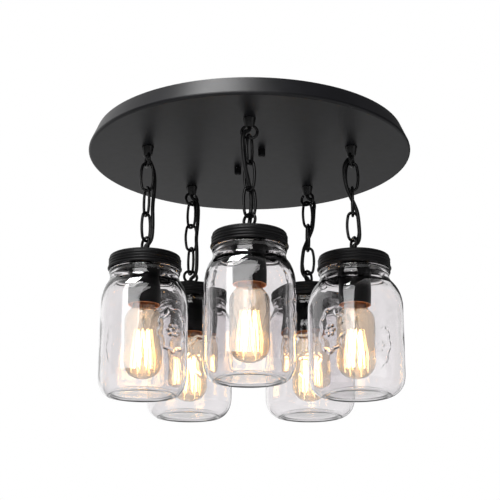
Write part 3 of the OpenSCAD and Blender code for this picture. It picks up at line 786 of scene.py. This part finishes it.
# %% Socket liners
SLEEVE_MOUTH, SLEEVE_INNER, CORE_END = -58.1, 17.8, -34.2
for place_name in PLACES:
    liner = [(SLEEVE_INNER - 0.05, SLEEVE_MOUTH), (SLEEVE_INNER - 0.05, CORE_END + 0.3),
             (SLEEVE_INNER - 0.45, CORE_END + 0.3), (SLEEVE_INNER - 0.45, SLEEVE_MOUTH - 0.2),
             (SLEEVE_INNER + 1.1, SLEEVE_MOUTH - 0.2), (SLEEVE_INNER + 1.1, SLEEVE_MOUTH)]
    liner = np.array(liner) + [0, lid_top]
    make_piece(place_name + "_socket_liner", [(turned(liner, AXES[place_name], 72), True)],
               place_name + "_lid", copper_lacquer, smooth=False)
print("liners ready")

# %% Bulb shells
CONTACT, BASE_LENGTH, BASE_RADIUS, BASE_PITCH, BASE_THREAD = -8.6, 25.4, 13.1, 3.6, 0.4
BULB_LENGTH, BULB_RADIUS, BULB_WALL, BULB_DOME = 138.0, 22.5, 0.9, 20.6


def bulb_outline():
    """Shell outline from the tip up the outside and back down the inside."""
    top, neck = -BASE_LENGTH, BASE_RADIUS - 0.3
    neck_end, wide, dome = top - 22, top - 44, -BULB_LENGTH + BULB_DOME
    steps = np.radians(np.linspace(90, 0, 26))
    outside = np.stack([BULB_RADIUS * np.cos(steps), dome - BULB_DOME * np.sin(steps)], -1)
    outside[0, 0] = 0.05
    side = curve((BULB_RADIUS, wide), (BULB_RADIUS, neck_end - 8), (neck, neck_end - 10),
                 (neck, neck_end), 30)
    levels = np.linspace(dome, wide, 14, endpoint=False)[1:]
    straight = np.stack([np.full(13, BULB_RADIUS), levels], -1)
    outer = np.vstack([outside, straight, side, [(neck, top)]])
    inner = outer[::-1] - [BULB_WALL, 0]
    inner[:, 0] = np.maximum(inner[:, 0], 0.05)
    inner[:, 1] += BULB_WALL * np.clip((dome - inner[:, 1]) / BULB_DOME, 0, 1)
    return np.vstack([outer, inner])


for place_name in PLACES:
    outline = bulb_outline() + [0, CONTACT + lid_top]
    points = turned(outline, AXES[place_name])
    piece = make_piece(place_name + "_bulb_shell", [(points, False)], place_name + "_bulb",
                       bulb_glass)
    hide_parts(place_name + "_bulb_glass")
print("bulb shells ready")

# %% Screw bases and stems


def base_points(centre):
    """Screw base, turned; its radius then follows a helix: r - d + d cos(2 pi z / pitch - a)."""
    height = np.concatenate([[0, 0, -0.6, -1.2, -2.4, -3.8],
                             np.linspace(-4.2, -BASE_LENGTH + 3, 70),
                             [-BASE_LENGTH + 1, -BASE_LENGTH, -BASE_LENGTH]])
    radius = np.concatenate([[0.05, 3.2, 4.2, 4.8, 7.6, 10.8], np.full(72, BASE_RADIUS), [0.05]])
    points = turned(np.stack([radius, height + CONTACT + lid_top], -1), centre, 72)
    angle = np.linspace(0, 2 * np.pi, 72, endpoint=False)[None, :]
    threaded = ((height < -4) & (height > -BASE_LENGTH + 2.9))[:, None]
    helix = np.cos(2 * np.pi * height[:, None] / BASE_PITCH - angle)
    push = threaded * (-BASE_THREAD + BASE_THREAD * helix)
    points[..., 0] += push * np.cos(angle)
    points[..., 1] += push * np.sin(angle)
    return points


STEM_LENGTH = 44.0
for place_name in PLACES:
    centre = AXES[place_name]
    piece = make_piece(place_name + "_screw_base", [(base_points(centre), False)],
                       place_name + "_bulb", base_metal)
    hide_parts(place_name + "_bulb_base")
    top = CONTACT - BASE_LENGTH + lid_top
    t = np.linspace(0, 1, 24)
    stem_radius = 4.4 - 2.6 * smooth_step(t / 0.75) + 1.5 * np.exp(-((t - 0.97) / 0.05) ** 2)
    stem = np.stack([stem_radius, top - 0.1 - t * STEM_LENGTH], -1)
    make_piece(place_name + "_stem", [(turned(stem, centre, 32), False)], place_name + "_bulb",
               stem_glass)
print("bases ready")

# %% Filament cages
CAGE_TOP, CAGE_BOTTOM, CAGE_TOP_RADIUS, CAGE_BOTTOM_RADIUS = -80.0, -124.5, 6.5, 10.0
CAGE_BARS, FILAMENT_RADIUS, SUPPORT_RADIUS = 16, 0.42, 0.22
STEM_END = -BASE_LENGTH - STEM_LENGTH
for place_name in PLACES:
    centre = AXES[place_name]
    bar = np.arange(CAGE_BARS + 1)
    angle = 2 * np.pi * bar / CAGE_BARS
    low = bar % 2 == 1
    radius = np.where(low, CAGE_BOTTOM_RADIUS, CAGE_TOP_RADIUS)
    level = np.where(low, CAGE_BOTTOM, CAGE_TOP) + CONTACT + lid_top
    hooks = np.stack([centre[0] + radius * np.cos(angle), centre[1] + radius * np.sin(angle),
                      level], -1)
    wires = []
    for a, b in zip(hooks[:-1], hooks[1:]):
        t = np.linspace(0, 1, 10)[:, None]
        swell = np.sin(np.pi * t) * 0.8
        out = (a + b) / 2 - [*centre, (a[2] + b[2]) / 2]
        line = a + (b - a) * t + swell * out / np.linalg.norm(out)
        wires.append((swept(line, FILAMENT_RADIUS, 8), False))
    make_piece(place_name + "_filament", wires, place_name + "_bulb", filament_glow)
    spokes = []
    for hook in hooks[:-1]:
        down = hook[2] < CAGE_TOP + CONTACT + lid_top - 5
        root_level = STEM_END + (0.8 if down else 2.5) + CONTACT + lid_top
        knee_level = hook[2] + 14 if down else root_level - 4
        root = np.array([*centre, root_level])
        knee = np.array([*(centre + (hook[:2] - centre) * 0.25), knee_level])
        spokes.append((swept(through([root, knee, hook], 12), SUPPORT_RADIUS, 6), False))
    make_piece(place_name + "_wire_spiders", spokes, place_name + "_bulb", support_wire)
print(CAGE_BARS, "filament bars in each bulb")

# %% [markdown]
# ## Cords
# A black round cord leaves each upper collar, weaves down through its chain and enters the lid's
# collar. It bends at every link, so it is made in four lengths, which meet at the middle of a
# link.
# The lengths stay where they are built and ride on no body.

# %% Cord routes
CORD_RADIUS, BLEND_REACH = 2.4, 9
CORD_LEVELS = [8, -12.8, -18.5, -25, -33, -45, -57, -65, -73, -81, -89, -103, -116, -122.8,
               -128.5, -147]
CORD_ROUTES = {
    "front": [(0, 0), (0, 0), (-5, -4.1), (-7.4, -5.4), (-7.7, -4.7), (-6.9, -3.3),
              (-5.5, -1.8), (-4, -0.2), (-2.1, 2.1), (-0.2, 4.6), (1.3, 6.1),
              (2, 6.7), (1.1, 6.6), (0.4, 5.4), (0, 0), (0, 0)],
    "left": [(0, 0), (0, 0), (3.2, 4.6), (5.9, 7), (7.9, 7.5), (8.6, 7),
             (8.2, 6.1), (7.7, 4.8), (7.4, 3.2), (7.4, 1.5), (7.8, 0.2),
             (8.1, -0.5), (7.3, -0.6), (4.5, -0.3), (0, 0), (0, 0)],
    "back_left": [(0, 0), (0, 0), (5, -0.1), (8, -0.5), (9, -0.9), (8.8, -1.4),
                  (8.1, -2), (7.4, -2.5), (7, -2.8), (7.3, -2.9), (7.8, -2.8),
                  (8, -2.6), (7.4, -2.1), (4.8, -1.2), (0, 0), (0, 0)],
    "back_right": [(0, 0), (0, 0), (6.4, 0.2), (9, 0), (8.4, -1), (7.6, -1.7),
                   (6.2, -2), (3.6, -2), (0.1, -2.3), (-3.3, -3.4), (-6, -4.4),
                   (-7.9, -4.7), (-8.2, -4.1), (-5.5, -2.4), (0, 0), (0, 0)],
    "right": [(0, 0), (0, 0), (-5, -3.6), (-8.3, -5.5), (-9.5, -5.7), (-8.7, -5.1),
              (-6, -3.9), (-2.5, -2.6), (1.1, -2), (4, -2.7), (5.6, -4),
              (6.6, -5.1), (6.8, -5.2), (5, -3), (0, 0), (0, 0)],
}


def cut_level(path, level):
    """Index of the path's first point below a height."""
    return int(np.argmax(path[:, 2] < level))


pivots = [pan_face - LOOP_HEIGHT + LOOP_WIRE / 2]
pivots += [first_link_top - LINK_LENGTH + LINK_WIRE / 2 - k * link_pitch for k in range(3)]
for place_name in PLACES:
    centre = AXES[place_name]
    spots = [(centre[0] + x, centre[1] + y, pan_face + z)
             for (x, y), z in zip(CORD_ROUTES[place_name], CORD_LEVELS)]
    path = through(spots, 240)
    cuts = [cut_level(path, (a + b) / 2) for a, b in zip(pivots, pivots[1:])]
    cuts = [0, *cuts, len(path) - 1]
    for k in range(4):
        points = swept(path[cuts[k]:cuts[k + 1] + 1], CORD_RADIUS, 20)
        piece = make_piece(f"{place_name}_cord_{k + 1}", [(points, False)], None, cord_jacket)
        end = (centre[0] * MM, centre[1] * MM, (pivots[k] - BLEND_REACH) * MM)
        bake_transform(piece)
        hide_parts("power_cords")
    length = np.linalg.norm(np.diff(path, axis=0), axis=1).sum()
    print(place_name, "cord", round(length, 1), "mm")

# %% Leads inside the pan
LEAD, LEAD_BEND, LEAD_DEPTH = 1.6, 2.4, 6.5
SPLICE_FROM_MIDDLE, SPLICE_TURN, SPLICE_LENGTH = 34.0, np.radians(25.0), 9.0
up = np.array([0.0, 0.0, 1.0])
quarter = np.radians(np.arange(0, 91, 15))[:, None]
for sign, name, material in ((1, "black_leads", lead_black), (-1, "white_leads", lead_white)):
    mouth = sign * SPLICE_FROM_MIDDLE * np.array([np.cos(SPLICE_TURN), np.sin(SPLICE_TURN), 0])
    mouth[2] = -LEAD_DEPTH - (0 if sign > 0 else 2 * LEAD)
    tubes = []
    for place_name in PLACES:
        centre = np.array([*AXES[place_name], 0])
        outward = centre / np.linalg.norm(centre)
        foot = centre + sign * 0.6 * LEAD * np.array([-outward[1], outward[0], 0])
        foot[2] = pan_face + CORD_LEVELS[0]
        corner = np.array([foot[0], foot[1], mouth[2]])
        way = (mouth - corner) / np.linalg.norm(mouth - corner)
        end = mouth - 1.35 * LEAD * way
        first = corner + LEAD_BEND * ((1 - np.cos(quarter)) * way - (1 - np.sin(quarter)) * up)
        last = end - LEAD_BEND * ((1 - np.sin(quarter)) * way + (1 - np.cos(quarter)) * up)
        path = np.vstack([foot, first, last, end - (SPLICE_LENGTH - 1.5) * up])
        tubes.append((swept(path, LEAD / 2, 12, False, np.cross(up, way)), False))
    piece = make_piece(name, tubes, "canopy", material)
    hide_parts("pan_leads")
print("leads ready")

# %% [markdown]
# ## Room and light
# The light hangs free in a pale studio. The floor lies well below it, out of the photograph's
# view, and catches its shadow. Two large soft lamps stand at the front left, one low and one
# high, with a small one overhead and a weak one at the right. The world is white to the camera.
# Glass and gloss see that white behind the light and a dim room on the camera's side, and gloss
# sees less of it towards the right. Matt surfaces get only a soft fill.

# %% Floor, lamps and world
floor_mesh = bpy.data.meshes.new("studio_floor")
corners = [(-6, -6), (6, -6), (6, 6), (-6, 6)]
floor_mesh.from_pydata([(x, y, -1.3) for x, y in corners], [], [(0, 1, 2, 3)])
floor = bpy.data.objects.new("studio_floor", floor_mesh)
scene.collection.objects.link(floor)
floor_material, tree, shader, place = new_material("pale_floor")
tree.links.new(ramp(tree, noise(tree, place, 400.0), [(0.3, "#e9e9ea"), (0.7, "#efefef")]),
               shader.inputs["Base Color"])
shader.inputs["Roughness"].default_value = 0.8
floor_mesh.materials.append(floor_material)


def soft_lamp(name, spot, aim, width, height, power):
    """A rectangular area lamp at spot that faces aim."""
    data = bpy.data.lights.new(name, "AREA")
    data.shape = "RECTANGLE"
    data.size = width
    data.size_y = height
    data.energy = power
    lamp = bpy.data.objects.new(name, data)
    lamp.location = spot
    way = np.array(aim, float) - np.array(spot, float)
    yaw = np.arctan2(way[1], way[0])
    pitch = np.arctan2(np.hypot(way[0], way[1]), -way[2])
    lamp.rotation_euler = (pitch, 0.0, yaw - np.pi / 2)
    scene.collection.objects.link(lamp)


soft_lamp("left_softbox", (-0.6, -2.3, 0.3), (0, 0, -0.2), 1.75, 0.7, 19.0)
soft_lamp("right_softbox", (1.5, -0.9, -0.3), (0, 0, -0.2), 0.7, 0.7, 2.0)
soft_lamp("upper_softbox", (-0.49, -1.9, 1.17), (-0.065, -0.25, 0.12), 1.75, 1.25, 30.0)
soft_lamp("top_softbox", (-0.42, -0.74, 1.24), (0, -0.1, 0), 0.7, 0.5, 34.0)

world = bpy.data.worlds.new("studio_world")
scene.world = world
world.use_nodes = True
tree = world.node_tree
tree.nodes.clear()


def maths(operation, first, second):
    """One arithmetic node of the world; either side may be a number or a socket."""
    node = add_node(tree, "ShaderNodeMath", {"operation": operation})
    for slot, value in enumerate((first, second)):
        if isinstance(value, (int, float)):
            node.inputs[slot].default_value = value
        else:
            tree.links.new(value, node.inputs[slot])
    return node.outputs[0]


rays = add_node(tree, "ShaderNodeLightPath").outputs
direction = add_node(tree, "ShaderNodeSeparateXYZ",
                     links={0: add_node(tree, "ShaderNodeTexCoord").outputs["Generated"]})


def fade(axis, start, end, low, high):
    """Goes smoothly from low to high where the ray's direction goes from start to end."""
    return add_node(tree, "ShaderNodeMapRange", {"interpolation_type": "SMOOTHSTEP"},
                    {"From Min": start, "From Max": end, "To Min": low, "To Max": high},
                    {"Value": direction.outputs[axis]}).outputs["Result"]


gloss_level = maths("MULTIPLY", fade("Y", -0.3, 0.35, 0.03, 1.0), fade("X", -0.2, 0.22, 1.0, 0.1))
clear = maths("MULTIPLY", rays["Is Transmission Ray"], fade("Y", -0.5, 0.1, 0.12, 1.0))
through_glass = maths("MAXIMUM", rays["Is Camera Ray"], rays["Is Transmission Ray"])
gloss = maths("MULTIPLY", rays["Is Glossy Ray"], maths("SUBTRACT", 1.0, through_glass))
matt = maths("SUBTRACT", maths("SUBTRACT", 1.0, through_glass), gloss)
white = maths("MAXIMUM", rays["Is Camera Ray"], clear)
gloss_light, matt_light = maths("MULTIPLY", gloss, gloss_level), maths("MULTIPLY", matt, 0.55)
strength = maths("ADD", maths("ADD", white, gloss_light), matt_light)
background = add_node(tree, "ShaderNodeBackground", inputs={"Color": colour("#ffffff")},
                      links={"Strength": strength})
add_node(tree, "ShaderNodeOutputWorld", links={"Surface": background.outputs["Background"]})
print("room ready")
